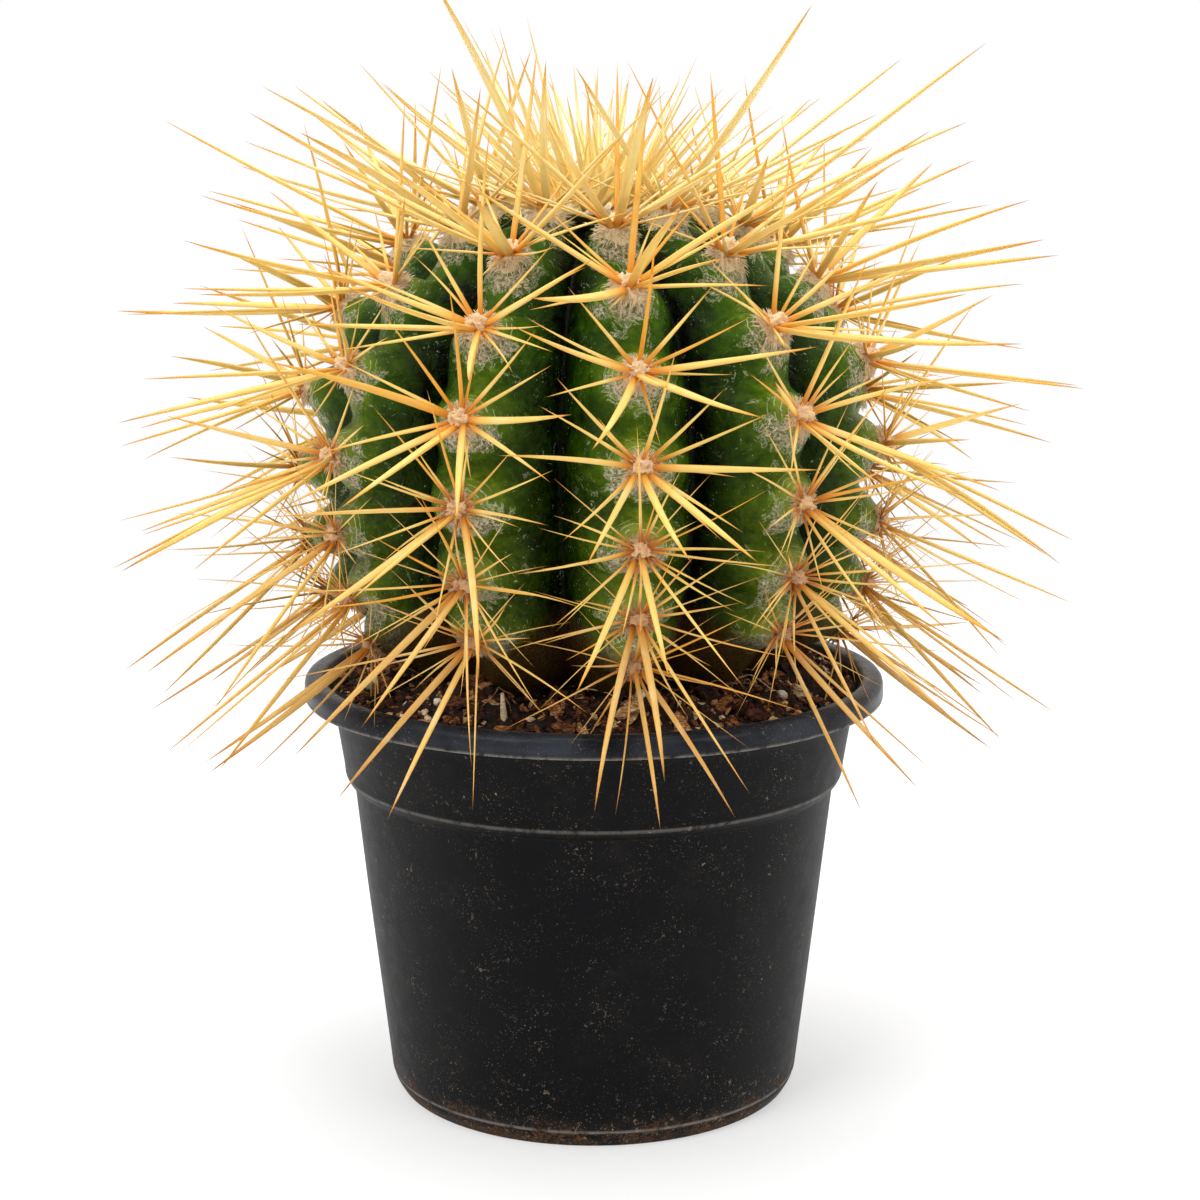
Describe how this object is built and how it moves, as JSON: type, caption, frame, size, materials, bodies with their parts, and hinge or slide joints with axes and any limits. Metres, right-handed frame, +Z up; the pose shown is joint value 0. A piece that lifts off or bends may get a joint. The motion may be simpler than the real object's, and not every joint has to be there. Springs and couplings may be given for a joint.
{
  "type": "potted round cactus",
  "caption": "Round ribbed cactus with long golden spines and a felted crown, rooted in bark soil in a black plastic nursery pot with a turned-down lip.",
  "frame": {"origin": "centre of the plane that the pot's foot ring stands on, on the pot's axis", "axes": "+Z up along the pot's axis; -Y towards the side of the plant seen in front; +X to the right of that view"},
  "size_m": [0.2271, 0.227, 0.2622],
  "materials": {
    "pot_plastic": "satin",
    "bark_soil": "matte",
    "cactus_skin": "satin",
    "crown_felt": "matte"
  },
  "bodies": {
    "root": {"pot": "pot_plastic", "soil": "bark_soil", "cactus": "cactus_skin", "crown": "crown_felt"}
  },
  "joints": []
}
